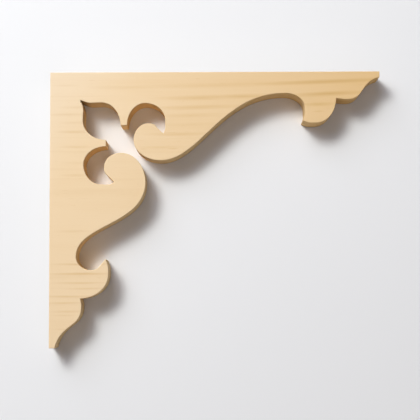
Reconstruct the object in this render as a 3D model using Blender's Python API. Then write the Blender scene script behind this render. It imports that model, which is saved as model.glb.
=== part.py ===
"""Corner bracket: one softwood board, fretted into a leaf-shaped opening, two scrolls and two knobs.

The board stands upright in the XZ plane, with its thickness along Y. Its long arm runs under a beam, along +X, and
its short arm runs down a post, along -Z. The origin is in the middle of the straight edge that meets the post.

Each arm's outline is drawn in the arm's own two distances: along, from the board's square corner towards the arm's
end, and deep, from the arm's straight edge into the board. A heading is an angle in that plane, in degrees: 0 runs
along the arm, 90 runs deeper, 180 runs back to the corner and 270 runs back to the straight edge.
"""

import math
from typing import NamedTuple

import bpy
from mathutils import Vector

# The board, in metres
BEAM_ARM_LENGTH = 0.3048
POST_ARM_LENGTH = 0.2540
BOARD_THICKNESS = 0.0286
ARM_END_DEPTH = 0.0054

# The leaf's tip, where both arms' outlines start: wood left beside the beam and beside the post
LEAF_TIP_BELOW_BEAM = 0.0258
LEAF_TIP_FROM_POST = 0.0280

# The leaf and the nib, the same on both arms, from the leaf's tip
LEAF_SHOULDER_ALONG = 0.0192
LEAF_SHOULDER_DROP = 0.0024
LEAF_TIP_HEADING = 23.0
LEAF_LENGTH = 0.0371
NIB_REACH = 0.0237
NIB_WIDTH = 0.0061

# The crescent hollow and the scroll's head inside it, the same on both arms
HOLLOW_HALF_WIDTH = 0.0167
HOLLOW_WIDTH = 0.0352
HOLLOW_CROWN_DROP = 0.0031
HOLLOW_SIDE_DROP = 0.0164
HORN_TIP_BACK = 0.0017
HORN_TIP_DROP = 0.0118
HORN_TIP_REACH_HEADING = 113.0
HORN_TIP_LEAVE_HEADING = 216.0
SCROLL_GAP = 0.0060
SCROLL_HEAD_ALONG = 0.0134
SCROLL_HEAD_DROP = 0.0155
CRESCENT_WIDTH = 0.0188

# The scroll's belly: its lowest point past the scroll's near side, and the board's depth there
BEAM_BELLY_ALONG = 0.0252
BEAM_BELLY_DEPTH = 0.0822
POST_BELLY_ALONG = 0.0271
POST_BELLY_DEPTH = 0.0882

# The arch between the belly and the knob: the wood left at its crown, and the curve from there to the knob
BEAM_ARCH_WEB = 0.0200
BEAM_ARCH_QUARTER = 0.0185
BEAM_BELLY_FULLNESS = 0.31
BEAM_CROWN_FULLNESS = 0.51
POST_ARCH_WEB = 0.0245
POST_ARCH_QUARTER = 0.0124
POST_BELLY_FULLNESS = 0.58
POST_CROWN_FULLNESS = 0.43
ARCH_QUARTER_DROP = 0.0131

# The knob: its neck between the arch and the notch, its tip and its lowest point
BEAM_KNOB_NECK = 0.0291
BEAM_KNOB_TIP_BACK = 0.0019
BEAM_KNOB_TIP_DROP = 0.0126
BEAM_KNOB_TIP_HEADING = 114.0
BEAM_KNOB_LOW_BACK = 0.0187
BEAM_KNOB_DEPTH = 0.0477
POST_KNOB_NECK = 0.0262
POST_KNOB_TIP_BACK = 0.0100
POST_KNOB_TIP_DROP = 0.0138
POST_KNOB_TIP_HEADING = 140.0
POST_KNOB_LOW_BACK = 0.0223
POST_KNOB_DEPTH = 0.0541
KNOB_TIP_LEAVE_HEADING = 22.0
KNOB_NOTCH_HEADING = 272.0

# The tail from the notch to the arm's square end
BEAM_TAIL_LENGTH = 0.0403
BEAM_TAIL_DEPTH = 0.0260
BEAM_TAIL_CREST_ALONG = 0.0108
POST_TAIL_LENGTH = 0.0450
POST_TAIL_DEPTH = 0.0296
POST_TAIL_CREST_ALONG = 0.0071
TAIL_CREST_DROP = 0.0010
TAIL_NOTCH_HEADING = 6.0
TAIL_CREST_FULLNESS = 0.53
TAIL_END_HEADING = 347.0

# Share of a quarter's side that a curve's handle spans, so that the quarter is a quarter of an ellipse
ROUND = 0.5523

# Straight pieces that each curved stretch between two points is divided into
CURVE_STEPS = 24

WOOD_COLOR = (0.76, 0.56, 0.35, 1.0)
WOOD_ROUGHNESS = 0.62


class ArmSizes(NamedTuple):
    """The sizes in which one arm differs from the other."""

    length: float
    leaf_tip_along: float
    leaf_tip_deep: float
    belly_along: float
    belly_depth: float
    belly_fullness: float
    crown_fullness: float
    arch_web: float
    arch_quarter: float
    knob_neck: float
    knob_tip_back: float
    knob_tip_drop: float
    knob_tip_heading: float
    knob_low_back: float
    knob_depth: float
    tail_length: float
    tail_depth: float
    tail_crest_along: float


class Knot(NamedTuple):
    """A point of an arm's outline, and the headings in which the outline comes to it and leaves it."""

    along: float
    deep: float
    comes: float
    leaves: float
    fullness_before: float = ROUND
    fullness_after: float = ROUND
    straight_after: bool = False


BEAM_ARM = ArmSizes(
    length=BEAM_ARM_LENGTH,
    leaf_tip_along=LEAF_TIP_FROM_POST,
    leaf_tip_deep=LEAF_TIP_BELOW_BEAM,
    belly_along=BEAM_BELLY_ALONG,
    belly_depth=BEAM_BELLY_DEPTH,
    belly_fullness=BEAM_BELLY_FULLNESS,
    crown_fullness=BEAM_CROWN_FULLNESS,
    arch_web=BEAM_ARCH_WEB,
    arch_quarter=BEAM_ARCH_QUARTER,
    knob_neck=BEAM_KNOB_NECK,
    knob_tip_back=BEAM_KNOB_TIP_BACK,
    knob_tip_drop=BEAM_KNOB_TIP_DROP,
    knob_tip_heading=BEAM_KNOB_TIP_HEADING,
    knob_low_back=BEAM_KNOB_LOW_BACK,
    knob_depth=BEAM_KNOB_DEPTH,
    tail_length=BEAM_TAIL_LENGTH,
    tail_depth=BEAM_TAIL_DEPTH,
    tail_crest_along=BEAM_TAIL_CREST_ALONG,
)

POST_ARM = ArmSizes(
    length=POST_ARM_LENGTH,
    leaf_tip_along=LEAF_TIP_BELOW_BEAM,
    leaf_tip_deep=LEAF_TIP_FROM_POST,
    belly_along=POST_BELLY_ALONG,
    belly_depth=POST_BELLY_DEPTH,
    belly_fullness=POST_BELLY_FULLNESS,
    crown_fullness=POST_CROWN_FULLNESS,
    arch_web=POST_ARCH_WEB,
    arch_quarter=POST_ARCH_QUARTER,
    knob_neck=POST_KNOB_NECK,
    knob_tip_back=POST_KNOB_TIP_BACK,
    knob_tip_drop=POST_KNOB_TIP_DROP,
    knob_tip_heading=POST_KNOB_TIP_HEADING,
    knob_low_back=POST_KNOB_LOW_BACK,
    knob_depth=POST_KNOB_DEPTH,
    tail_length=POST_TAIL_LENGTH,
    tail_depth=POST_TAIL_DEPTH,
    tail_crest_along=POST_TAIL_CREST_ALONG,
)


def clear_scene():
    """Removes every object that the scene starts with."""
    for thing in list(bpy.data.objects):
        bpy.data.objects.remove(thing, do_unlink=True)


def leaf_and_nib(arm):
    """The half of the leaf beside the arm's straight edge, and the nib's flat end."""
    tip_along = arm.leaf_tip_along
    tip_deep = arm.leaf_tip_deep
    nib_deep = tip_deep + NIB_REACH
    return [
        Knot(tip_along, tip_deep, LEAF_TIP_HEADING, LEAF_TIP_HEADING),
        Knot(tip_along + LEAF_SHOULDER_ALONG, tip_deep + LEAF_SHOULDER_DROP, 0, 0),
        Knot(tip_along + LEAF_LENGTH, nib_deep, 90, 0, straight_after=True),
        Knot(tip_along + LEAF_LENGTH + NIB_WIDTH, nib_deep, 0, 270),
    ]


def scroll(arm, nib):
    """The crescent hollow past the nib, then the scroll's head, side and belly."""
    far_side = nib.along + HOLLOW_WIDTH
    crown_deep = arm.leaf_tip_deep + HOLLOW_CROWN_DROP
    side_deep = crown_deep + HOLLOW_SIDE_DROP
    near_side = nib.along + SCROLL_GAP
    head_deep = crown_deep + CRESCENT_WIDTH
    return [
        Knot(nib.along + HOLLOW_HALF_WIDTH, crown_deep, 0, 0),
        Knot(far_side, side_deep, 90, 90),
        Knot(
            far_side - HORN_TIP_BACK,
            side_deep + HORN_TIP_DROP,
            HORN_TIP_REACH_HEADING,
            HORN_TIP_LEAVE_HEADING,
        ),
        Knot(near_side + SCROLL_HEAD_ALONG, head_deep, 180, 180),
        Knot(near_side, head_deep + SCROLL_HEAD_DROP, 90, 90),
        Knot(
            near_side + arm.belly_along,
            arm.belly_depth,
            0,
            0,
            fullness_after=arm.belly_fullness,
        ),
    ]


def arch_and_knob(arm):
    """The arch up to its crown and round to the knob's tip, then the knob, as far as the notch."""
    notch_along = arm.length - arm.tail_length
    arch_end = notch_along - arm.knob_neck
    quarter_deep = arm.arch_web + ARCH_QUARTER_DROP
    return [
        Knot(arch_end - arm.arch_quarter, arm.arch_web, 0, 0, fullness_before=arm.crown_fullness),
        Knot(arch_end, quarter_deep, 90, 90),
        Knot(
            arch_end - arm.knob_tip_back,
            quarter_deep + arm.knob_tip_drop,
            arm.knob_tip_heading,
            KNOB_TIP_LEAVE_HEADING,
        ),
        Knot(notch_along - arm.knob_low_back, arm.knob_depth, 0, 0),
        Knot(
            notch_along,
            arm.tail_depth - TAIL_CREST_DROP,
            KNOB_NOTCH_HEADING,
            TAIL_NOTCH_HEADING,
        ),
    ]


def tail(arm):
    """The tail's crest and the lower corner of the arm's square end."""
    crest_along = arm.length - arm.tail_length + arm.tail_crest_along
    return [
        Knot(crest_along, arm.tail_depth, 0, 0, fullness_after=TAIL_CREST_FULLNESS),
        Knot(arm.length, ARM_END_DEPTH, TAIL_END_HEADING, 270, straight_after=True),
    ]


def arm_knots(arm):
    """The arm's whole fretted outline, from the leaf's tip to the lower corner of the arm's end."""
    knots = leaf_and_nib(arm)
    knots += scroll(arm, knots[-1])
    knots += arch_and_knob(arm)
    knots += tail(arm)
    return knots


def heading_vector(heading):
    return Vector((math.cos(math.radians(heading)), math.sin(math.radians(heading))))


def handle_offset(chord, heading, fullness):
    """A handle along the heading, as long as this share of the chord's own run in that heading."""
    ahead = heading_vector(heading)
    return ahead * abs(chord.dot(ahead)) * fullness


class CurvePoint(NamedTuple):
    """A Bezier point in the arm's distances, with its two handles, or None beside a straight stretch."""

    place: Vector
    before: Vector | None
    after: Vector | None


def curve_points(knots):
    """Turns an arm's knots into Bezier points. The first has no handle before it, and the last none after it."""
    places = [Vector((knot.along, knot.deep)) for knot in knots]
    points = []
    for index, knot in enumerate(knots):
        place = places[index]
        before = None
        after = None
        if index > 0 and not knots[index - 1].straight_after:
            chord = place - places[index - 1]
            before = place - handle_offset(chord, knot.comes, knot.fullness_before)
        if index < len(knots) - 1 and not knot.straight_after:
            chord = places[index + 1] - place
            after = place + handle_offset(chord, knot.leaves, knot.fullness_after)
        points.append(CurvePoint(place, before, after))
    return points


def turned_back(points):
    """The same stretch of outline, drawn from its end to its start."""
    return [CurvePoint(point.place, point.after, point.before) for point in reversed(points)]


def on_board(points, place_on_board):
    """Moves Bezier points from an arm's own distances to the board's corner, x to the right and y up."""
    return [
        CurvePoint(*[None if spot is None else place_on_board(spot) for spot in point])
        for point in points
    ]


def beam_arm_place(spot):
    return Vector((spot.x, -spot.y))


def post_arm_place(spot):
    return Vector((spot.y, -spot.x))


def board_outline():
    """The closed outline: the fretted edge from the beam arm's end to the post arm's end, and three corners."""
    beam_side = on_board(turned_back(curve_points(arm_knots(BEAM_ARM))), beam_arm_place)
    post_side = on_board(curve_points(arm_knots(POST_ARM)), post_arm_place)
    leaf_tip = CurvePoint(post_side[0].place, beam_side[-1].before, post_side[0].after)
    corners = [
        Vector((0.0, -POST_ARM_LENGTH)),
        Vector((0.0, 0.0)),
        Vector((BEAM_ARM_LENGTH, 0.0)),
    ]
    squares = [CurvePoint(corner, None, None) for corner in corners]
    return beam_side[:-1] + [leaf_tip] + post_side[1:] + squares


def set_handle(bezier_point, side, spot):
    """Gives one side of a Bezier point its own handle, or makes the stretch on that side straight."""
    if spot is None:
        setattr(bezier_point, f"handle_{side}_type", "VECTOR")
        return
    setattr(bezier_point, f"handle_{side}_type", "FREE")
    setattr(bezier_point, f"handle_{side}", spot.to_3d())


def fretted_curve(name, outline, thickness):
    """A filled flat curve of the outline, extruded half the thickness each way."""
    curve = bpy.data.curves.new(name, "CURVE")
    curve.dimensions = "2D"
    curve.fill_mode = "BOTH"
    curve.extrude = thickness / 2
    curve.resolution_u = CURVE_STEPS
    spline = curve.splines.new("BEZIER")
    spline.bezier_points.add(len(outline) - 1)
    spline.use_cyclic_u = True
    for bezier_point, point in zip(spline.bezier_points, outline):
        bezier_point.co = point.place.to_3d()
        set_handle(bezier_point, "left", point.before)
        set_handle(bezier_point, "right", point.after)
    return curve


def wood_material():
    """Bare sanded softwood."""
    material = bpy.data.materials.new("wood")
    material.use_nodes = True
    shader = material.node_tree.nodes["Principled BSDF"]
    shader.inputs["Base Color"].default_value = WOOD_COLOR
    shader.inputs["Roughness"].default_value = WOOD_ROUGHNESS
    shader.inputs["Metallic"].default_value = 0.0
    return material


def build_bracket():
    """The bracket, stood upright with the middle of its post edge at the origin."""
    collection = bpy.data.collections.new("corner_bracket")
    bpy.context.scene.collection.children.link(collection)
    curve = fretted_curve("bracket", board_outline(), BOARD_THICKNESS)
    curve.materials.append(wood_material())
    bracket = bpy.data.objects.new("bracket", curve)
    bracket.location = (0.0, 0.0, POST_ARM_LENGTH / 2)
    bracket.rotation_euler = (math.pi / 2, 0.0, 0.0)
    collection.objects.link(bracket)
    return bracket


def main():
    clear_scene()
    build_bracket()


if __name__ == "__main__":
    main()
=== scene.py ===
"""Corner bracket: the sawn and sanded softwood board, its grain, and the plain studio it is shown in.

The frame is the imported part's own, in metres: x runs along the long arm, y from the front face to the
back face, and z up. The board stands on nothing: its back is against a plain pale backdrop.
"""

import math
from typing import NamedTuple

import bmesh
import bpy
import numpy as np
from bpy.props import FloatProperty, FloatVectorProperty, IntProperty, PointerProperty
from mathutils import Matrix, Vector, noise
from mathutils.geometry import delaunay_2d_cdt


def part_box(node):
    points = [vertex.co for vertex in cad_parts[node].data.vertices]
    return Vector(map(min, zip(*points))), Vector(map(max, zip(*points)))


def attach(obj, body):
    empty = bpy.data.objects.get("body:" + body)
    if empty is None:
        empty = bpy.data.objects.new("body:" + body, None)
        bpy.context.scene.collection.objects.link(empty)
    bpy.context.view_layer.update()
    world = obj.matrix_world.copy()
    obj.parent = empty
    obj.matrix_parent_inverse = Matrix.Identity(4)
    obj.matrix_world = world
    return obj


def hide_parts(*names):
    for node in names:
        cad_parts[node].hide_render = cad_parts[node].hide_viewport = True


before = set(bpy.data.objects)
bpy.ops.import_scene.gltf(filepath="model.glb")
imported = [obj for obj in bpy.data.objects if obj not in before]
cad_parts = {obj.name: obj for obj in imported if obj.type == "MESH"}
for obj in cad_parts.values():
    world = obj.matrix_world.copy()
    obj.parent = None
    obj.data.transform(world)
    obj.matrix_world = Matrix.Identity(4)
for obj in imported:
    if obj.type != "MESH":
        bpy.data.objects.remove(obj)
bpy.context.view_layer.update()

bl_info = {
    "name": "Corner bracket",
    "version": (1, 0, 0),
    "blender": (4, 5, 0),
    "location": "3D View > Sidebar > Bracket",
    "description": "Makes a fretted softwood corner bracket and the studio it is shown in",
    "category": "Add Mesh",
}

NODE = "bracket"
MM = 0.001

# The board's mesh
WELD = 0.000001
SAME_PLACE = WELD / 10
FLAT_FACING = 0.99
CORNER_TURN = math.radians(20)
SHARP_ANGLE = math.radians(40)
CORNER_CUT_LIMIT = 0.0007
CORNER_STEPS = 5
NOTCH_FAN_STEPS = 3

# The rounded edge in section: angles up the quarter circle at which the face has a ring of points
EDGE_RING_ANGLES = (30.0, 60.0, 90.0)
FLAT_RING_GAP = 0.0003
# A ring's point stays where it is this share of its depth from the edge, and a grid's point where it is
# this share of a step from it
RING_CLEARANCE = 0.97
GRID_CLEARANCE = 0.55


class GrainMark(NamedTuple):
    """One darker mark in the grain: where its middle is on the front face, and its size, in millimetres."""

    along: float
    up: float
    half_length: float
    half_width: float
    half_depth: float
    darkness: float


# Growth lines, streaks and flecks that stand out on this board. Each height is taken where its line, which
# rises towards the long arm's end, would meet the post.
GRAIN_MARKS = (
    # Along the beam and in the two scrolls
    GrainMark(150, 112.8, 110, 3.0, 70, 0.26),
    GrainMark(72, 112.4, 44, 2.6, 70, 0.26),
    GrainMark(260, 112.9, 92, 2.6, 70, 0.98),
    GrainMark(140, 101.7, 52, 3.0, 70, 0.52),
    GrainMark(178, 102.0, 40, 3.0, 70, 0.58),
    GrainMark(258, 101.5, 46, 2.8, 70, 1.00),
    GrainMark(135, 92.6, 52, 2.8, 70, 0.52),
    GrainMark(248, 92.2, 20, 2.4, 70, 0.75),
    GrainMark(130, 85.3, 45, 2.6, 70, 0.28),
    GrainMark(248, 85.6, 7, 1.2, 3, 0.55),
    GrainMark(130, 76.7, 40, 2.4, 70, 0.20),
    GrainMark(118, 68.1, 38, 2.6, 70, 0.44),
    GrainMark(103, 56.0, 26, 2.2, 70, 0.28),
    GrainMark(113, 54.8, 8, 0.8, 4, 0.50),
    GrainMark(86, 54.8, 6, 0.8, 4, 0.35),
    GrainMark(66, 26.4, 20, 1.6, 70, 0.12),
    # The top of the post side
    GrainMark(14, 114.6, 16, 1.6, 70, 0.22),
    GrainMark(24, 94.4, 20, 1.8, 70, 0.30),
    GrainMark(16, 87.7, 26, 1.8, 70, 0.34),
    GrainMark(22, 79.8, 16, 1.6, 70, 0.22),
    GrainMark(22, 71.4, 20, 2.0, 70, 0.46),
    GrainMark(24, 57.4, 20, 1.8, 70, 0.34),
    GrainMark(24, 42.6, 16, 1.6, 70, 0.20),
    GrainMark(24, 31.4, 18, 1.8, 70, 0.28),
    GrainMark(22, -20.4, 20, 1.6, 70, 0.26),
    # The foot of the post side
    GrainMark(30, -50.5, 36, 1.6, 70, 0.58),
    GrainMark(30, -59.4, 36, 1.6, 70, 0.60),
    GrainMark(28, -67.6, 32, 1.4, 70, 0.46),
    GrainMark(34, -72.9, 26, 1.3, 70, 0.38),
    GrainMark(16, -80.0, 32, 1.5, 70, 0.46),
    GrainMark(14, -85.9, 24, 1.4, 70, 0.46),
    GrainMark(18, -93.6, 20, 1.5, 70, 0.42),
    GrainMark(14, -97.2, 16, 1.2, 70, 0.32),
    GrainMark(12, -109.5, 10, 0.9, 70, 0.30),
)
# How the grain rises towards the long arm's end, in millimetres: this times the square of the way along it
GRAIN_RISE = 0.00007


def color_property(**named):
    """A setting for a colour."""
    return FloatVectorProperty(subtype="COLOR", size=3, min=0.0, max=1.0, **named)


def share_property(**named):
    """A setting for a share from 0 to 1."""
    return FloatProperty(subtype="FACTOR", min=0.0, max=1.0, **named)


class BoardSizes(bpy.types.PropertyGroup):
    """Sizes of the sawn board's finished surface."""

    edge_radius: FloatProperty(
        name="Edge radius",
        description="Radius to which the sawn edges are sanded",
        default=0.00050,
        min=0.0001,
        max=0.002,
        precision=5,
        unit="LENGTH",
    )
    back_edge: FloatProperty(
        name="Back edge",
        description="Radius of the back face's edges, which are hardly sanded, as a share of the front's",
        default=0.35,
        min=0.1,
        max=1.0,
        subtype="FACTOR",
    )
    edge_wander: FloatProperty(
        name="Edge wander",
        description="Share by which hand sanding changes the edge radius from place to place",
        default=0.35,
        min=0.0,
        max=0.8,
        subtype="FACTOR",
    )
    wander_length: FloatProperty(
        name="Wander length",
        description="Distance over which the edge radius changes",
        default=0.014,
        min=0.002,
        unit="LENGTH",
    )
    point_spacing: FloatProperty(
        name="Point spacing",
        description="Longest step between points along the fretted edge",
        default=0.0013,
        min=0.0004,
        unit="LENGTH",
    )
    face_spacing: FloatProperty(
        name="Face spacing",
        description="Spacing of the points inside the two flat faces",
        default=0.0045,
        min=0.002,
        unit="LENGTH",
    )
    wall_rows: IntProperty(
        name="Wall rows",
        description="Rows of faces through the thickness of the sawn walls",
        default=10,
        min=1,
        max=40,
    )


class WoodLook(bpy.types.PropertyGroup):
    """Colours and grain of the bare softwood, with a painted sheen at the square corner and painted shade
    at the leaf's tip.
    """

    early_color: color_property(
        name="Early wood",
        description="Pale wood between the growth lines",
        default=(0.830, 0.622, 0.388),
    )
    late_color: color_property(
        name="Late wood",
        description="Darker wood of the growth lines",
        default=(0.635, 0.390, 0.138),
    )
    heart_color: color_property(
        name="Heart wood",
        description="Warmer wood towards the long arm's end",
        default=(0.755, 0.505, 0.240),
    )
    end_color: color_property(
        name="End grain",
        description="Wood on the walls that cut across the grain",
        default=(0.780, 0.590, 0.385),
    )
    # Painted sheen: this paler colour lightens the face at the square corner, where it stands for the
    # lamps' glare
    painted_sheen_color: color_property(
        name="Pale wood",
        description="Paler sheen at the board's square corner",
        default=(0.835, 0.655, 0.450),
    )
    sawn_tint: color_property(
        name="Sawn tint",
        description="Colour that the wood's own is multiplied by on the fretted walls",
        default=(1.0, 0.92, 0.70),
    )
    # Painted shade: this dark colour lies on the walls and in a small spot on the faces at the leaf's
    # narrow tip, where the shade falls deepest
    tip_shade_color: color_property(
        name="Scorch",
        description="Wood that the saw has scorched where it turns in the leaf's tip",
        default=(0.200, 0.110, 0.050),
    )
    ring_spacing: FloatProperty(
        name="Ring spacing",
        description="Distance between growth rings, measured out from the middle of the log",
        default=0.0056,
        min=0.001,
        unit="LENGTH",
    )
    ring_strength: share_property(
        name="Ring strength",
        description="How much darker the growth rings are",
        default=0.18,
    )
    mark_strength: share_property(
        name="Mark strength",
        description="How much darker the single marks in the grain are",
        default=0.84,
    )
    fibre_strength: share_property(
        name="Fibre strength",
        description="How much the fine fibres vary in colour",
        default=0.14,
    )
    roughness: share_property(
        name="Roughness",
        description="Roughness of the sanded faces",
        default=0.62,
    )
    shine: share_property(
        name="Shine",
        description="Strength of the bare wood's faint shine",
        default=0.30,
    )
    relief: FloatProperty(
        name="Relief",
        description="Height of the fibres' and the saw's marks",
        default=0.00008,
        min=0.0,
        precision=6,
        unit="LENGTH",
    )


class StudioLook(bpy.types.PropertyGroup):
    """The backdrop, the lights and the camera."""

    backdrop_color: color_property(
        name="Backdrop",
        description="Colour of the plain backdrop",
        default=(0.842, 0.834, 0.839),
    )
    backdrop_size: FloatProperty(
        name="Backdrop size",
        description="Side of the square backdrop",
        default=3.2,
        min=0.5,
        unit="LENGTH",
    )
    backdrop_gap: FloatProperty(
        name="Backdrop gap",
        description="Distance from the board's back face to the backdrop",
        default=0.0001,
        min=0.0001,
        precision=5,
        unit="LENGTH",
    )
    lamp_distance: FloatProperty(
        name="Lamp distance",
        description="Distance from the board's middle to the soft lamps",
        default=2.30,
        min=0.5,
        unit="LENGTH",
    )
    key_size: FloatProperty(
        name="Key size",
        description="Side of the lamp that makes the shadow's dark core",
        default=0.588,
        min=0.05,
        unit="LENGTH",
    )
    key_power: FloatProperty(
        name="Key power",
        description="Power of the lamp that makes the shadow's dark core",
        default=30.8,
        min=0.0,
        unit="POWER",
    )
    side_size: FloatProperty(
        name="Side size",
        description="Side of the broad lamp that softens the shadow's edge",
        default=1.917,
        min=0.05,
        unit="LENGTH",
    )
    side_power: FloatProperty(
        name="Side power",
        description="Power of the broad lamp that softens the shadow's edge",
        default=36.6,
        min=0.0,
        unit="POWER",
    )
    fill_size: FloatProperty(
        name="Fill size",
        description="Side of the broad lamp that fills the shadow from the open side",
        default=2.30,
        min=0.05,
        unit="LENGTH",
    )
    fill_power: FloatProperty(
        name="Fill power",
        description="Power of the broad lamp that fills the shadow from the open side",
        default=9.0,
        min=0.0,
        unit="POWER",
    )
    room_strength: FloatProperty(
        name="Room strength",
        description="Light that comes evenly from all round",
        default=0.080,
        min=0.0,
    )
    screen_strength: FloatProperty(
        name="Screen strength",
        description="Brightness of the pale screen that stands round the studio and lights nothing",
        default=0.80,
        min=0.0,
    )
    screen_radius: FloatProperty(
        name="Screen radius",
        description="Radius of the pale screen round the studio",
        default=6.0,
        min=3.0,
        unit="LENGTH",
    )
    back_strength: FloatProperty(
        name="Back strength",
        description="Strength of the lamp that shows the board's back face",
        default=2.3,
        min=0.0,
    )
    lens: FloatProperty(
        name="Lens",
        description="Focal length on a 36 mm wide sensor",
        default=103.1,
        min=10.0,
        unit="CAMERA",
    )
    camera_distance: FloatProperty(
        name="Camera distance",
        description="Distance from the camera to the plane of the front face",
        default=1.1013,
        min=0.1,
        unit="LENGTH",
    )
    camera_across: FloatProperty(
        name="Camera across",
        description="Distance of the camera along the beam, from the board's square corner",
        default=0.1471,
        unit="LENGTH",
    )
    camera_below: FloatProperty(
        name="Camera below",
        description="Distance of the camera below the board's square corner",
        default=0.2073,
        unit="LENGTH",
    )
    camera_tilt: FloatProperty(
        name="Camera tilt",
        description="Angle by which the camera looks up",
        default=math.radians(4.11),
        subtype="ANGLE",
    )
    camera_roll: FloatProperty(
        name="Camera roll",
        description="Angle by which the camera is turned about its line of sight",
        default=math.radians(0.212),
        subtype="ANGLE",
    )


class RimPoint(NamedTuple):
    """A point of the fretted outline, x across and z up, with the ways into the wood there."""

    place: Vector
    inwards: tuple


def outline_of(node):
    """The closed outline of a node's front face, counter-clockwise from the front, x across and z up."""
    work = bmesh.new()
    work.from_mesh(node.data)
    bmesh.ops.remove_doubles(work, verts=work.verts, dist=WELD)
    work.normal_update()
    front = {face for face in work.faces if face.normal.y < -FLAT_FACING}
    following = {}
    for face in front:
        for loop in face.loops:
            if loop.link_loop_radial_next.face not in front:
                following[loop.vert] = loop.link_loop_next.vert
    start = min(following, key=lambda vert: (round(vert.co.z, 6), round(vert.co.x, 6)))
    points = [start]
    while following[points[-1]] is not start:
        points.append(following[points[-1]])
    if len(points) != len(following):
        raise RuntimeError("the front face has more than one outline")
    outline = [Vector((vert.co.x, vert.co.z)) for vert in points]
    work.free()
    return outline


def turn_at(before, place, after):
    """The signed angle by which the outline turns at a point: positive where the wood sticks out."""
    incoming = place - before
    outgoing = after - place
    return math.atan2(
        incoming.x * outgoing.y - incoming.y * outgoing.x,
        incoming.dot(outgoing),
    )


def stretches_of(outline):
    """Splits the outline at its corners. Each stretch has its two corners, and the turns at both."""
    count = len(outline)
    turns = [
        turn_at(outline[index - 1], outline[index], outline[(index + 1) % count])
        for index in range(count)
    ]
    corners = [index for index in range(count) if abs(turns[index]) > CORNER_TURN]
    stretches = []
    for start, end in zip(corners, corners[1:] + [corners[0] + count]):
        stretch = [outline[index % count] for index in range(start, end + 1)]
        stretches.append((stretch, turns[start], turns[end % count]))
    return stretches


def shortened(stretch, cut):
    """The stretch without its first piece of that length."""
    if cut <= 0.0:
        return list(stretch)
    left = cut
    for index in range(len(stretch) - 1):
        step = stretch[index + 1] - stretch[index]
        if step.length > left:
            return [stretch[index] + step.normalized() * left] + list(stretch[index + 1 :])
        left -= step.length
    raise RuntimeError("a stretch of the outline is shorter than its rounded corner")


def subdivided(stretch, spacing):
    """The stretch with points added on a smooth curve wherever a step is longer than the spacing."""
    count = len(stretch)
    tangents = []
    for index in range(count):
        ahead = stretch[min(index + 1, count - 1)]
        behind = stretch[max(index - 1, 0)]
        tangents.append((ahead - behind).normalized())
    points = [stretch[0]]
    for index in range(count - 1):
        start = stretch[index]
        end = stretch[index + 1]
        reach = (end - start).length
        pieces = max(1, math.ceil(reach / spacing))
        for piece in range(1, pieces):
            t = piece / pieces
            points.append(
                start * (2 * t**3 - 3 * t**2 + 1)
                + tangents[index] * (reach * (t**3 - 2 * t**2 + t))
                + end * (3 * t**2 - 2 * t**3)
                + tangents[index + 1] * (reach * (t**3 - t**2))
            )
        points.append(end)
    return points


def corner_cut(turn, radius):
    """How much of each side a rounded corner takes: none at a notch, where the saw leaves it sharp."""
    if turn <= 0.0:
        return 0.0
    return min(radius * math.tan(turn / 2), CORNER_CUT_LIMIT)


def finished_outline(outline, radius, spacing):
    """The outline with its outward corners rounded and its curves made smooth."""
    stretches = stretches_of(outline)
    points = []
    for index, (stretch, start_turn, end_turn) in enumerate(stretches):
        middle = shortened(stretch, corner_cut(start_turn, radius))
        middle = shortened(middle[::-1], corner_cut(end_turn, radius))[::-1]
        points += subdivided(middle, spacing)
        if end_turn <= 0.0:
            points.pop()
            continue
        corner = stretch[-1]
        following = stretches[(index + 1) % len(stretches)][0]
        beyond = shortened(following, corner_cut(end_turn, radius))[0]
        for step in range(1, CORNER_STEPS):
            t = step / CORNER_STEPS
            points.append(
                middle[-1] * (1 - t) ** 2 + corner * (2 * t * (1 - t)) + beyond * t**2
            )
    return points


def inward(direction):
    """The way into the wood from an edge that runs in this direction."""
    return Vector((-direction.y, direction.x)).normalized()


def rim_points(outline):
    """Each point of the outline with the ways into the wood: one, or a fan of them round a notch."""
    count = len(outline)
    rim = []
    for index, place in enumerate(outline):
        before = outline[index - 1]
        after = outline[(index + 1) % count]
        first = inward(place - before)
        second = inward(after - place)
        if turn_at(before, place, after) > -CORNER_TURN:
            rim.append(RimPoint(place, ((first + second).normalized(),)))
            continue
        fan = [
            first.slerp(second, step / NOTCH_FAN_STEPS) for step in range(NOTCH_FAN_STEPS + 1)
        ]
        rim.append(RimPoint(place, tuple(fan)))
    return rim


def distance_to_outline(points, outline):
    """The distance from each point to the nearest place on the closed outline."""
    start = np.array(outline, float)
    along = np.roll(start, -1, axis=0) - start
    length = (along**2).sum(1)
    nearest = np.empty(len(points))
    for index, point in enumerate(np.array(points, float)):
        share = np.clip(((point - start) * along).sum(1) / length, 0.0, 1.0)
        nearest[index] = np.sqrt(((start + along * share[:, None] - point) ** 2).sum(1).min())
    return nearest


def is_inside(points, outline):
    """Whether each point is inside the closed outline."""
    x, y = np.array(points, float).T
    inside = np.zeros(len(x), bool)
    for index, end in enumerate(outline):
        start = outline[index - 1]
        if start.y == end.y:
            continue
        spans = (start.y > y) != (end.y > y)
        crossing = start.x + (y - start.y) * (end.x - start.x) / (end.y - start.y)
        inside ^= spans & (x < crossing)
    return inside


def edge_radius_at(place, sizes, side):
    """The edge's radius at a place: hand sanding never takes off quite the same everywhere."""
    spot = Vector((place[0], side, place[1])) / sizes.wander_length
    radius = sizes.edge_radius * (sizes.back_edge if side > 0 else 1.0)
    return radius * (1.0 + sizes.edge_wander * noise.noise(spot))


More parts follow.
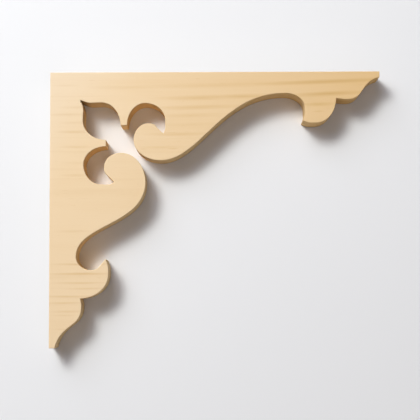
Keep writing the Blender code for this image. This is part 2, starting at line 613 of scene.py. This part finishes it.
def face_points(outline, sizes, side):
    """Points inside a flat face: rings up the rounded edge, and a staggered grid over the rest."""
    rings = []
    wanted = []
    for rim in rim_points(outline):
        radius = edge_radius_at(rim.place, sizes, side)
        depths = [radius * (1 - math.cos(math.radians(angle))) for angle in EDGE_RING_ANGLES]
        depths.append(radius + FLAT_RING_GAP)
        for depth in depths:
            for way in rim.inwards:
                rings.append(rim.place + way * depth)
                wanted.append(depth)
    clear = distance_to_outline(rings, outline) > np.array(wanted) * RING_CLEARANCE
    rings = [point for point, keep in zip(rings, clear & is_inside(rings, outline)) if keep]

    corners = np.array(outline, float)
    low = corners.min(0)
    high = corners.max(0)
    step = sizes.face_spacing
    grid = [
        Vector((x + (row % 2) * step / 2, z))
        for row, z in enumerate(np.arange(low[1] + step / 2, high[1], step))
        for x in np.arange(low[0] + step / 4, high[0], step)
    ]
    grid = [point for point, keep in zip(grid, is_inside(grid, outline)) if keep]
    room = distance_to_outline(grid, outline) > step * GRID_CLEARANCE
    grid = [point for point, keep in zip(grid, room) if keep]
    return rings + grid


def face_height(distance, radius):
    """How far the face has dropped back, at this distance from the edge."""
    if distance >= radius:
        return 0.0
    return radius - math.sqrt(max(radius**2 - (radius - distance) ** 2, 0.0))


def add_face(work, outline, sizes, side, half_thickness):
    """Adds a flat face with its rounded edge, and gives its rim. side is -1 in front and 1 behind."""
    count = len(outline)
    coords = list(outline) + face_points(outline, sizes, side)
    edges = [(index, (index + 1) % count) for index in range(count)]
    places, _, triangles, origins, _, _ = delaunay_2d_cdt(coords, edges, [], 1, SAME_PLACE)
    distances = distance_to_outline(places, outline)
    rim = [None] * count
    verts = []
    for place, distance, origin in zip(places, distances, origins):
        drop = face_height(distance, edge_radius_at(place, sizes, side))
        vert = work.verts.new((place.x, side * (half_thickness - drop), place.y))
        verts.append(vert)
        for index in origin:
            if index < count:
                rim[index] = vert
    for triangle in triangles:
        work.faces.new([verts[index] for index in triangle])
    if None in rim:
        raise RuntimeError("the face lost a point of its rim")
    return rim


def add_walls(work, front, back, rows):
    """Adds the sawn walls from the front face's rim to the back face's rim."""
    columns = []
    for first, last in zip(front, back):
        column = [first]
        for row in range(1, rows):
            column.append(work.verts.new(first.co.lerp(last.co, row / rows)))
        column.append(last)
        columns.append(column)
    for index, column in enumerate(columns):
        neighbour = columns[(index + 1) % len(columns)]
        for row in range(rows):
            work.faces.new((column[row], column[row + 1], neighbour[row + 1], neighbour[row]))


def board_outline(sizes):
    """The finished board's outline."""
    return finished_outline(
        outline_of(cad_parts[NODE]), sizes.edge_radius, sizes.point_spacing
    )


def board_mesh(sizes):
    """The finished board: two flat faces with sanded edges, and the sawn walls between them."""
    low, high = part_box(NODE)
    half_thickness = (high.y - low.y) / 2
    outline = board_outline(sizes)
    work = bmesh.new()
    front = add_face(work, outline, sizes, -1, half_thickness)
    back = add_face(work, outline, sizes, 1, half_thickness)
    add_walls(work, front, back, sizes.wall_rows)
    bmesh.ops.recalc_face_normals(work, faces=work.faces)
    mesh = bpy.data.meshes.new("sawn_board")
    work.to_mesh(mesh)
    work.free()
    mesh.shade_smooth()
    mesh.set_sharp_from_angle(angle=SHARP_ANGLE)
    return mesh


class Streaks(NamedTuple):
    """A noise in the wood: the size of its grains along x, y and z in millimetres, and where it starts."""

    size: tuple
    start: tuple = (0.0, 0.0, 0.0)
    detail: float = 2.0
    roughness: float = 0.5


SLOW_WANDER = Streaks((240.0, 90.0, 90.0), (0.4, 1.7, 5.2), detail=1.0)
QUICK_WANDER = Streaks((42.0, 9.0, 9.0), (8.3, 2.4, 1.1))
RING_PATCHES = Streaks((120.0, 9.0, 9.0), (3.1, 0.0, 7.7))
LONG_FIBRES = Streaks((60.0, 1.1, 1.1), detail=3.0, roughness=0.6)
FINE_FIBRES = Streaks((9.0, 0.28, 0.28))
SHORT_DASHES = Streaks((7.0, 1.0, 1.0), (4.0, 9.0, 2.0), detail=0.0)
BROAD_BANDS = Streaks((160.0, 14.0, 14.0), (6.0, 3.0, 8.0))
SAW_LINES = Streaks((0.9, 60.0, 0.9))
# The value about which every noise swings
NOISE_MIDDLE = 0.5


class Wiring:
    """Adds nodes to a node tree and joins them up."""

    def __init__(self, tree):
        self.tree = tree

    def add(self, kind, *inputs, **settings):
        """Adds a node. The inputs, values or sockets, go to its sockets in order."""
        node = self.tree.nodes.new(kind)
        for name, value in settings.items():
            setattr(node, name, value)
        for socket, value in zip(node.inputs, inputs):
            self.put(socket, value)
        return node

    def put(self, socket, value):
        """Joins a socket to this one, or sets its value."""
        if isinstance(value, bpy.types.NodeSocket):
            self.tree.links.new(value, socket)
            return
        socket.default_value = value

    def math(self, operation, *inputs, clamp=False):
        node = self.add("ShaderNodeMath", *inputs, operation=operation, use_clamp=clamp)
        return node.outputs["Value"]

    def vector(self, operation, *inputs):
        node = self.add("ShaderNodeVectorMath", *inputs, operation=operation)
        return node.outputs["Vector"]

    def length(self, vector):
        node = self.add("ShaderNodeVectorMath", vector, operation="LENGTH")
        return node.outputs["Value"]

    def parts(self, vector):
        """The vector's parts, by the names X, Y and Z."""
        return self.add("ShaderNodeSeparateXYZ", vector).outputs

    def joined(self, x, y, z):
        """The vector with these parts."""
        return self.add("ShaderNodeCombineXYZ", x, y, z).outputs["Vector"]

    def noise(self, place, streaks):
        """Noise from 0 to 1 with streaks of this kind, at a place in millimetres."""
        scaled = self.vector("MULTIPLY", place, tuple(1 / size for size in streaks.size))
        node = self.add("ShaderNodeTexNoise", noise_dimensions="3D")
        self.put(node.inputs["Vector"], self.vector("ADD", scaled, streaks.start))
        self.put(node.inputs["Scale"], 1.0)
        self.put(node.inputs["Detail"], streaks.detail)
        self.put(node.inputs["Roughness"], streaks.roughness)
        return node.outputs["Fac"]

    def swing(self, place, streaks):
        """The same noise to both sides of 0."""
        return self.math("SUBTRACT", self.noise(place, streaks), NOISE_MIDDLE)

    def ramp(self, value, low, high, smooth=True):
        """0 below low, 1 above high, and a smooth rise between."""
        kind = "SMOOTHSTEP" if smooth else "LINEAR"
        node = self.add("ShaderNodeMapRange", interpolation_type=kind)
        self.put(node.inputs["Value"], value)
        self.put(node.inputs["From Min"], low)
        self.put(node.inputs["From Max"], high)
        return node.outputs["Result"]

    def mix(self, share, first, second, blend="MIX"):
        """Mixes two colours."""
        node = self.add("ShaderNodeMix", data_type="RGBA", blend_type=blend)
        self.put(node.inputs["Factor"], share)
        self.put(node.inputs[6], first)
        self.put(node.inputs[7], second)
        return node.outputs[2]


def opaque(color):
    """The colour with full opacity, as a colour socket takes it."""
    return (*color, 1.0)


def grain_mark_group():
    """A node group for how dark one mark makes the wood: full in its middle, and fading to its ends."""
    tree = bpy.data.node_groups.new("grain mark", "ShaderNodeTree")
    for name in ("Place", "Middle", "One over size"):
        tree.interface.new_socket(name, in_out="INPUT", socket_type="NodeSocketVector")
    for name in ("Darkness", "So far"):
        tree.interface.new_socket(name, in_out="INPUT", socket_type="NodeSocketFloat")
    tree.interface.new_socket("Darkness", in_out="OUTPUT", socket_type="NodeSocketFloat")
    wiring = Wiring(tree)
    given = wiring.add("NodeGroupInput").outputs
    away = wiring.vector("SUBTRACT", given["Place"], given["Middle"])
    away = wiring.vector("MULTIPLY", away, given["One over size"])
    share = wiring.math("SUBTRACT", 1.0, wiring.length(away), clamp=True)
    share = wiring.math("MULTIPLY", share, given["Darkness"])
    total = wiring.math("MAXIMUM", share, given["So far"])
    wiring.add("NodeGroupOutput", total)
    return tree


# How much higher a growth line is for each millimetre behind the front face, because the rings lean
RING_LEAN = 0.35


def single_marks(wiring, place):
    """How dark the marks that stand out make the wood, all together."""
    low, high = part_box(NODE)
    parts = wiring.parts(place)
    depth = wiring.math("ADD", parts["Y"], (high.y - low.y) / 2 / MM)
    leaning = wiring.math("MULTIPLY_ADD", depth, RING_LEAN, parts["Z"])
    rise = wiring.math("MULTIPLY", wiring.math("MULTIPLY", parts["X"], parts["X"]), GRAIN_RISE)
    mark_place = wiring.joined(parts["X"], depth, wiring.math("SUBTRACT", leaning, rise))
    group = grain_mark_group()
    total = 0.0
    for mark in GRAIN_MARKS:
        node = wiring.add("ShaderNodeGroup", node_tree=group)
        wiring.put(node.inputs["Place"], mark_place)
        wiring.put(node.inputs["Middle"], (mark.along, 0.0, mark.up))
        size = (1 / mark.half_length, 1 / mark.half_depth, 1 / mark.half_width)
        wiring.put(node.inputs["One over size"], size)
        wiring.put(node.inputs["Darkness"], mark.darkness)
        wiring.put(node.inputs["So far"], total)
        total = node.outputs["Darkness"]
    return total


# The middle of the log in the board's frame, in millimetres: behind the board, a little below its middle
LOG_BEHIND = 48.0
LOG_UP = -22.0
# How quickly the rings' spacing changes from ring to ring, and by how many rings it moves them
SPACING_CHANGE = 0.6
SPACING_SHIFT = 1.3
# Where in a ring's width the late wood starts and where it is darkest, and how slowly it darkens
LATE_START = 0.45
LATE_PEAK = 0.93
LATE_CURVE = 1.6
# A ring's darkness is its draw, from 0 to 1, over this
FULL_RING = 1.1
# Between these values of the noise the rings fade in
PATCH_RANGE = (0.30, 0.68)


def growth_rings(wiring, place, look):
    """How dark the growth rings make the wood: they darken slowly outwards, and end sharply."""
    parts = wiring.parts(place)
    behind = wiring.math("SUBTRACT", parts["Y"], LOG_BEHIND)
    above = wiring.math("SUBTRACT", parts["Z"], LOG_UP)
    radius = wiring.length(wiring.joined(0.0, behind, above))
    count = wiring.math("DIVIDE", radius, look.ring_spacing / MM)
    uneven = wiring.add("ShaderNodeTexNoise", noise_dimensions="1D")
    wiring.put(uneven.inputs["W"], count)
    wiring.put(uneven.inputs["Scale"], SPACING_CHANGE)
    wiring.put(uneven.inputs["Detail"], 1.0)
    shift = wiring.math("MULTIPLY", uneven.outputs["Fac"], SPACING_SHIFT)
    count = wiring.math("ADD", count, shift)
    share = wiring.math("FRACT", count)
    draw = wiring.add("ShaderNodeTexWhiteNoise", noise_dimensions="1D")
    wiring.put(draw.inputs["W"], wiring.math("FLOOR", count))
    strength = wiring.ramp(draw.outputs["Value"], 0.0, FULL_RING, smooth=False)
    rise = wiring.math("POWER", wiring.ramp(share, LATE_START, LATE_PEAK), LATE_CURVE)
    fall = wiring.ramp(share, LATE_PEAK, 1.0)
    line = wiring.math("SUBTRACT", rise, fall, clamp=True)
    line = wiring.math("MULTIPLY", line, strength)
    patches = wiring.ramp(wiring.noise(place, RING_PATCHES), *PATCH_RANGE)
    return wiring.math("MULTIPLY", line, patches)


# How far the grain wanders up and down, in millimetres: slowly over the board, and from line to line
SLOW_SHIFT = 7.0
QUICK_SHIFT = 1.4


def wandering_places(wiring, place):
    """The place as the wandering grain moves it: by both of its movements, and by the quick one alone."""
    slow = wiring.math("MULTIPLY", wiring.swing(place, SLOW_WANDER), SLOW_SHIFT)
    quick = wiring.math("MULTIPLY", wiring.swing(place, QUICK_WANDER), QUICK_SHIFT)
    both = wiring.math("ADD", slow, quick)
    wandering = wiring.vector("ADD", place, wiring.joined(0.0, 0.0, both))
    nearly_straight = wiring.vector("ADD", place, wiring.joined(0.0, 0.0, quick))
    return wandering, nearly_straight


# Height of the straight top edge, in millimetres
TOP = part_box(NODE)[1].z / MM
# How far the normal is turned to the front or back where a wall starts, and where it is all wall
WALL_FACING = (0.8, 0.3)
# How deep under a straight edge, in millimetres, the planed face ends, and how deep it is full
PLANED_DEPTH = (0.6, 0.3)


def fretted_walls(wiring, place, wall):
    """How far a place is on a fretted wall: on any wall but the two straight edges, which are planed."""
    parts = wiring.parts(place)
    outer, inner = PLANED_DEPTH
    top = wiring.ramp(parts["Z"], TOP - outer, TOP - inner)
    side = wiring.ramp(parts["X"], outer, inner)
    planed = wiring.math("MAXIMUM", top, side)
    return wiring.math("MULTIPLY", wall, wiring.math("SUBTRACT", 1.0, planed))


# Painted shade at the leaf's narrow tip, in millimetres: how far it goes along the walls, the radius of the
# spot on the faces, and where the spot's middle is from the very tip, across and up
TIP_SHADE_REACH = 9.0
TIP_SHADE_SPOT = 1.5
SPOT_MIDDLE = (1.0, -1.5)
# The share of the spot's radius that is full, and how strongly the painted shade darkens the walls at the
# tip
SPOT_CORE = 0.6
WALL_TIP_SHADE = 0.55
# The strip along the straight edges that holds no part of the fretted edge's middle
EDGE_STRIP = 5 * MM


def leaf_tip(outline):
    """The leaf opening's sharp tip: the place on the fretted edge that is nearest to the square corner."""
    corner = Vector((0.0, TOP * MM))
    fretted = [
        place for place in outline if place.x > EDGE_STRIP and place.y < corner.y - EDGE_STRIP
    ]
    return min(fretted, key=lambda place: (place - corner).length)


def painted_tip_shade_at(wiring, place, tip, wall, fretted):
    """How much shade is painted into the wood: in a spot on the faces, and along the walls at the leaf's
    narrow tip.
    """
    spot = (tip.x / MM + SPOT_MIDDLE[0], 0.0, tip.y / MM + SPOT_MIDDLE[1])
    away = wiring.vector("SUBTRACT", place, spot)
    away = wiring.length(wiring.vector("MULTIPLY", away, (1.0, 0.0, 1.0)))
    on_wall = wiring.math("MULTIPLY", wiring.ramp(away, TIP_SHADE_REACH, 0.0), fretted)
    on_wall = wiring.math("MULTIPLY", on_wall, WALL_TIP_SHADE)
    on_face = wiring.ramp(away, TIP_SHADE_SPOT, TIP_SHADE_SPOT * SPOT_CORE)
    on_face = wiring.math("MULTIPLY", on_face, wiring.math("SUBTRACT", 1.0, wall))
    return wiring.math("MAXIMUM", on_wall, on_face)


# The long fibres' share of the fibres, and the values of the noise between which a dash becomes a fleck
LONG_SHARE = 0.7
FLECK_RANGE = (0.76, 0.86)
FLECK_STRENGTH = 0.16
BAND_STRENGTH = 0.10
# Where along the board it turns to heart wood, in millimetres, and how much the broad bands move that
HEART_RANGE = (60.0, 300.0)
HEART_BANDS = 0.5
# The painted sheen at the square corner, a paler patch for the lamps' glare: how much faster it fades along
# the beam than down the post, and how far it reaches
SHEEN_SLOPE = 1.3
SHEEN_RANGE = (0.0, -125.0)
# How much the fibres and the walls add to the roughness
FIBRE_ROUGHNESS = 0.25
WALL_ROUGHNESS = 0.15
# Heights as shares of the relief, and how much of the fibres' height the saw leaves on a fretted wall
SAW_HEIGHT = 1.5
RING_HEIGHT = 0.4
SAWN_FIBRES = 0.2


def wood_material(look, tip):
    """Bare sanded softwood: rings, streaks, flecks and fibres run through the whole board along x."""
    material = bpy.data.materials.new("sanded_softwood")
    material.use_nodes = True
    wiring = Wiring(material.node_tree)
    shader = material.node_tree.nodes["Principled BSDF"]
    coords = wiring.add("ShaderNodeTexCoord").outputs
    place = wiring.vector("MULTIPLY", coords["Object"], (1 / MM, 1 / MM, 1 / MM))
    wandering, nearly_straight = wandering_places(wiring, place)
    rings = growth_rings(wiring, wandering, look)
    marks = single_marks(wiring, nearly_straight)
    bands = wiring.swing(wandering, BROAD_BANDS)
    flecks = wiring.ramp(wiring.noise(nearly_straight, SHORT_DASHES), *FLECK_RANGE)
    long_fibres = wiring.noise(nearly_straight, LONG_FIBRES)
    fine_fibres = wiring.noise(nearly_straight, FINE_FIBRES)
    fibres = wiring.math(
        "ADD",
        wiring.math("MULTIPLY", long_fibres, LONG_SHARE),
        wiring.math("MULTIPLY", fine_fibres, 1.0 - LONG_SHARE),
    )
    fibres = wiring.math("SUBTRACT", fibres, NOISE_MIDDLE)

    # Warmer towards the long arm's end, and paler at the square corner, where a painted sheen stands for
    # the lamps' glare
    parts = wiring.parts(nearly_straight)
    towards_end = wiring.ramp(parts["X"], *HEART_RANGE, smooth=False)
    heart = wiring.math("MULTIPLY_ADD", bands, HEART_BANDS, towards_end, clamp=True)
    color = wiring.mix(heart, opaque(look.early_color), opaque(look.heart_color))
    along = wiring.math("MULTIPLY", parts["X"], SHEEN_SLOPE)
    corner = wiring.ramp(wiring.math("SUBTRACT", along, parts["Z"]), *SHEEN_RANGE)
    color = wiring.mix(corner, color, opaque(look.painted_sheen_color))

    # The grain's darker wood. The fibres swing by a half to both sides, so their strength counts twice
    dark = wiring.math("MULTIPLY", rings, look.ring_strength)
    dark = wiring.math("MULTIPLY_ADD", marks, look.mark_strength, dark)
    dark = wiring.math("MULTIPLY_ADD", flecks, FLECK_STRENGTH, dark)
    dark = wiring.math("MULTIPLY_ADD", fibres, look.fibre_strength * 2, dark)
    dark = wiring.math("MULTIPLY_ADD", bands, BAND_STRENGTH, dark, clamp=True)
    color = wiring.mix(dark, color, opaque(look.late_color))

    # End grain on the walls cut across the grain, the saw's tint on the fretted ones, and painted shade at
    # the leaf's narrow tip
    facing = wiring.parts(coords["Normal"])
    wall = wiring.ramp(wiring.math("ABSOLUTE", facing["Y"]), *WALL_FACING)
    across_grain = wiring.math("POWER", wiring.math("ABSOLUTE", facing["X"]), 2.0)
    end_grain = wiring.math("MULTIPLY", across_grain, wall)
    end_color = wiring.mix(dark, opaque(look.end_color), opaque(look.late_color))
    color = wiring.mix(end_grain, color, end_color)
    fretted = fretted_walls(wiring, place, wall)
    color = wiring.mix(fretted, color, opaque(look.sawn_tint), "MULTIPLY")
    # Painted shade at the leaf's narrow tip, laid into the colour
    shaded = painted_tip_shade_at(wiring, place, tip, wall, fretted)
    color = wiring.mix(shaded, color, opaque(look.tip_shade_color))
    wiring.put(shader.inputs["Base Color"], color)

    rough = wiring.math("MULTIPLY_ADD", fibres, FIBRE_ROUGHNESS, look.roughness)
    rough = wiring.math("MULTIPLY_ADD", wall, WALL_ROUGHNESS, rough, clamp=True)
    wiring.put(shader.inputs["Roughness"], rough)
    wiring.put(shader.inputs["Specular IOR Level"], look.shine)

    # Relief: fibres and rings everywhere, and the saw's fine lines through the thickness on fretted walls
    saw = wiring.math("MULTIPLY", wiring.swing(place, SAW_LINES), fretted)
    fibres_left = wiring.math("MULTIPLY_ADD", fretted, SAWN_FIBRES - 1.0, 1.0)
    height = wiring.math("MULTIPLY", fibres, fibres_left)
    height = wiring.math("MULTIPLY_ADD", saw, SAW_HEIGHT, height)
    height = wiring.math("MULTIPLY_ADD", rings, RING_HEIGHT, height)
    bump = wiring.add("ShaderNodeBump")
    wiring.put(bump.inputs["Height"], height)
    wiring.put(bump.inputs["Distance"], look.relief)
    wiring.put(shader.inputs["Normal"], bump.outputs["Normal"])
    return material


class BRACKET_OT_board(bpy.types.Operator):
    """Makes the finished board in place of the plain one"""

    bl_idname = "bracket.board"
    bl_label = "Make the board"

    def execute(self, context):
        settings = context.scene.corner_bracket
        mesh = board_mesh(settings.board)
        tip = leaf_tip(outline_of(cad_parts[NODE]))
        mesh.materials.append(wood_material(settings.wood, tip))
        board = bpy.data.objects.new("sawn_board", mesh)
        context.scene.collection.objects.link(board)
        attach(board, "root")
        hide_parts(NODE)
        return {"FINISHED"}


# How far inside the board's outline the backdrop's opening is, and the share of that which is enough
OPENING_INSET = 0.0003
INSET_SLACK = 0.9
BACKDROP_ROUGHNESS = 0.9
BACKDROP_SHINE = 0.2


def backdrop_material(color):
    """A plain matt surface that is clear from behind, so that the board's back shows through it."""
    material = bpy.data.materials.new("matt_backdrop")
    material.use_nodes = True
    wiring = Wiring(material.node_tree)
    shader = material.node_tree.nodes["Principled BSDF"]
    wiring.put(shader.inputs["Base Color"], opaque(color))
    wiring.put(shader.inputs["Roughness"], BACKDROP_ROUGHNESS)
    wiring.put(shader.inputs["Specular IOR Level"], BACKDROP_SHINE)
    clear = wiring.add("ShaderNodeBsdfTransparent")
    behind = wiring.add("ShaderNodeNewGeometry").outputs["Backfacing"]
    both = wiring.add("ShaderNodeMixShader", behind, shader.outputs["BSDF"], clear.outputs["BSDF"])
    output = material.node_tree.nodes["Material Output"]
    wiring.put(output.inputs["Surface"], both.outputs["Shader"])
    return material


def backdrop_mesh(sizes, size, middle):
    """A flat square with an opening that the board covers, for the lamp behind to reach the board."""
    outline = board_outline(sizes)
    inset = [
        rim.place + way * OPENING_INSET for rim in rim_points(outline) for way in rim.inwards
    ]
    half = size / 2
    square = [
        Vector((middle.x + across * half, middle.z + up * half))
        for across, up in ((-1, -1), (1, -1), (1, 1), (-1, 1))
    ]
    edges = [(index, (index + 1) % 4) for index in range(4)]
    edges += [(4 + index, 4 + (index + 1) % len(inset)) for index in range(len(inset))]
    places, _, triangles, _, _, _ = delaunay_2d_cdt(square + inset, edges, [], 1, SAME_PLACE)
    middles = [
        sum((places[index] for index in triangle), Vector((0.0, 0.0))) / 3
        for triangle in triangles
    ]
    deep = distance_to_outline(middles, outline) > OPENING_INSET * INSET_SLACK
    covered = is_inside(middles, outline) & deep
    work = bmesh.new()
    verts = [work.verts.new((place.x, 0.0, place.y)) for place in places]
    for triangle, hidden in zip(triangles, covered):
        if not hidden:
            work.faces.new([verts[index] for index in triangle])
    loose = [vert for vert in work.verts if not vert.link_faces]
    bmesh.ops.delete(work, geom=loose, context="VERTS")
    mesh = bpy.data.meshes.new("backdrop")
    work.to_mesh(mesh)
    work.free()
    return mesh


def add_backdrop(sizes, look):
    """The plain surface behind the board."""
    low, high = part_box(NODE)
    mesh = backdrop_mesh(sizes, look.backdrop_size, (low + high) / 2)
    mesh.materials.append(backdrop_material(look.backdrop_color))
    backdrop = bpy.data.objects.new("backdrop", mesh)
    backdrop.location.y = high.y + look.backdrop_gap
    bpy.context.scene.collection.objects.link(backdrop)


# The dull cards over the straight edges: how far they are from the wood, and the tone that keeps the
# backdrop even
CARD_GAP = 0.0003
CARD_COLOR = (0.37, 0.32, 0.25)


def add_cards():
    """Dull cards over the two straight edges, which keep the pale wood's glow off the backdrop beside them.

    The camera and the lamps see through them, and they are clear from the wood's side.
    """
    low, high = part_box(NODE)
    above = high.z + CARD_GAP
    beside = low.x - CARD_GAP
    corners = {
        "top_card": [
            (low.x, low.y, above),
            (high.x, low.y, above),
            (high.x, high.y, above),
            (low.x, high.y, above),
        ],
        "side_card": [
            (beside, low.y, low.z),
            (beside, low.y, high.z),
            (beside, high.y, high.z),
            (beside, high.y, low.z),
        ],
    }
    material = backdrop_material(CARD_COLOR)
    for name, places in corners.items():
        mesh = bpy.data.meshes.new(name)
        mesh.from_pydata(places, [], [(0, 1, 2, 3)])
        mesh.materials.append(material)
        card = bpy.data.objects.new(name, mesh)
        card.visible_camera = False
        card.visible_glossy = False
        card.visible_transmission = False
        card.visible_volume_scatter = False
        card.visible_shadow = False
        bpy.context.scene.collection.objects.link(card)


class SoftLamp(NamedTuple):
    """One soft lamp: the way from the board to it, across, back and up, and the colour of its light."""

    way: Vector
    color: tuple


SOFT_LAMPS = {
    "key": SoftLamp(Vector((-0.50, -1.0, 0.60)), (0.96, 0.995, 0.955)),
    "side": SoftLamp(Vector((-0.60, -1.0, 0.80)), (0.88, 0.90, 1.00)),
    "fill": SoftLamp(Vector((0.12, -1.0, -0.38)), (1.00, 0.91, 0.86)),
}
BACK_WAY = Vector((0.0, 1.0, 0.0))
BACK_ANGLE = math.radians(8)
ROOM_COLOR = (1.0, 0.94, 0.90)
SCREEN_COLOR = (0.97, 0.98, 1.0)
SENSOR_WIDTH = 36.0


def aimed(thing, place, target):
    """Puts a lamp at a place and turns it to a target."""
    thing.location = place
    thing.rotation_euler = (target - place).to_track_quat("-Z", "Y").to_euler()


def add_lights(look):
    """Three soft lamps, even light from the room, and a lamp straight behind for the back face."""
    low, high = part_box(NODE)
    middle = (low + high) / 2
    for name, (way, color) in SOFT_LAMPS.items():
        lamp = bpy.data.lights.new(name, "AREA")
        lamp.shape = "SQUARE"
        lamp.size = getattr(look, name + "_size")
        lamp.energy = getattr(look, name + "_power")
        lamp.color = color
        soft = bpy.data.objects.new(name, lamp)
        soft.visible_camera = False
        aimed(soft, middle + way.normalized() * look.lamp_distance, middle)
        bpy.context.scene.collection.objects.link(soft)

    lamp = bpy.data.lights.new("back", "SUN")
    lamp.energy = look.back_strength
    lamp.angle = BACK_ANGLE
    back = bpy.data.objects.new("back", lamp)
    aimed(back, middle + BACK_WAY * look.lamp_distance, middle)
    bpy.context.scene.collection.objects.link(back)

    world = bpy.data.worlds.new("room")
    world.use_nodes = True
    background = world.node_tree.nodes["Background"]
    background.inputs["Color"].default_value = opaque(ROOM_COLOR)
    background.inputs["Strength"].default_value = look.room_strength
    bpy.context.scene.world = world


def add_screen(look):
    """A pale round screen far outside, which only closes the view from the sides and the back."""
    material = bpy.data.materials.new("pale_screen")
    material.use_nodes = True
    tree = material.node_tree
    glow = tree.nodes.new("ShaderNodeEmission")
    glow.inputs["Color"].default_value = opaque(SCREEN_COLOR)
    glow.inputs["Strength"].default_value = look.screen_strength
    tree.links.new(glow.outputs["Emission"], tree.nodes["Material Output"].inputs["Surface"])
    work = bmesh.new()
    bmesh.ops.create_icosphere(work, subdivisions=3, radius=look.screen_radius)
    mesh = bpy.data.meshes.new("screen")
    work.to_mesh(mesh)
    work.free()
    mesh.materials.append(material)
    screen = bpy.data.objects.new("screen", mesh)
    screen.visible_diffuse = False
    screen.visible_glossy = False
    screen.visible_transmission = False
    screen.visible_volume_scatter = False
    screen.visible_shadow = False
    bpy.context.scene.collection.objects.link(screen)


def add_camera(look):
    """The camera at the photograph's viewing angle."""
    low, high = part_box(NODE)
    data = bpy.data.cameras.new("camera")
    data.sensor_width = SENSOR_WIDTH
    data.lens = look.lens
    camera = bpy.data.objects.new("camera", data)
    across = look.camera_across
    up = high.z - look.camera_below
    tilt = Matrix.Rotation(math.radians(90) + look.camera_tilt, 4, "X")
    roll = Matrix.Rotation(look.camera_roll, 4, "Y")
    place = Matrix.Translation((across, low.y - look.camera_distance, up))
    camera.matrix_world = place @ roll @ tilt
    bpy.context.scene.collection.objects.link(camera)
    bpy.context.scene.camera = camera


class BRACKET_OT_studio(bpy.types.Operator):
    """Makes the backdrop, the lights and the camera"""

    bl_idname = "bracket.studio"
    bl_label = "Set up the studio"

    def execute(self, context):
        settings = context.scene.corner_bracket
        look = settings.studio
        add_backdrop(settings.board, look)
        add_cards()
        add_screen(look)
        add_lights(look)
        add_camera(look)
        context.scene.view_settings.view_transform = "Standard"
        return {"FINISHED"}


class BracketSettings(bpy.types.PropertyGroup):
    """All the bracket's settings, kept with the scene."""

    board: PointerProperty(type=BoardSizes)
    wood: PointerProperty(type=WoodLook)
    studio: PointerProperty(type=StudioLook)


class BRACKET_PT_panel(bpy.types.Panel):
    """The bracket's settings and its two steps"""

    bl_idname = "BRACKET_PT_panel"
    bl_label = "Corner bracket"
    bl_space_type = "VIEW_3D"
    bl_region_type = "UI"
    bl_category = "Bracket"

    def draw(self, context):
        settings = context.scene.corner_bracket
        for group, operator in (
            (settings.board, None),
            (settings.wood, BRACKET_OT_board),
            (settings.studio, BRACKET_OT_studio),
        ):
            column = self.layout.column()
            for name in group.__annotations__:
                column.prop(group, name)
            if operator:
                column.operator(operator.bl_idname)


CLASSES = (
    BoardSizes,
    WoodLook,
    StudioLook,
    BracketSettings,
    BRACKET_OT_board,
    BRACKET_OT_studio,
    BRACKET_PT_panel,
)


def register():
    for item in CLASSES:
        bpy.utils.register_class(item)
    bpy.types.Scene.corner_bracket = PointerProperty(type=BracketSettings)


def unregister():
    del bpy.types.Scene.corner_bracket
    for item in reversed(CLASSES):
        bpy.utils.unregister_class(item)


def main():
    register()
    bpy.ops.bracket.board()
    bpy.ops.bracket.studio()


if __name__ == "__main__":
    main()
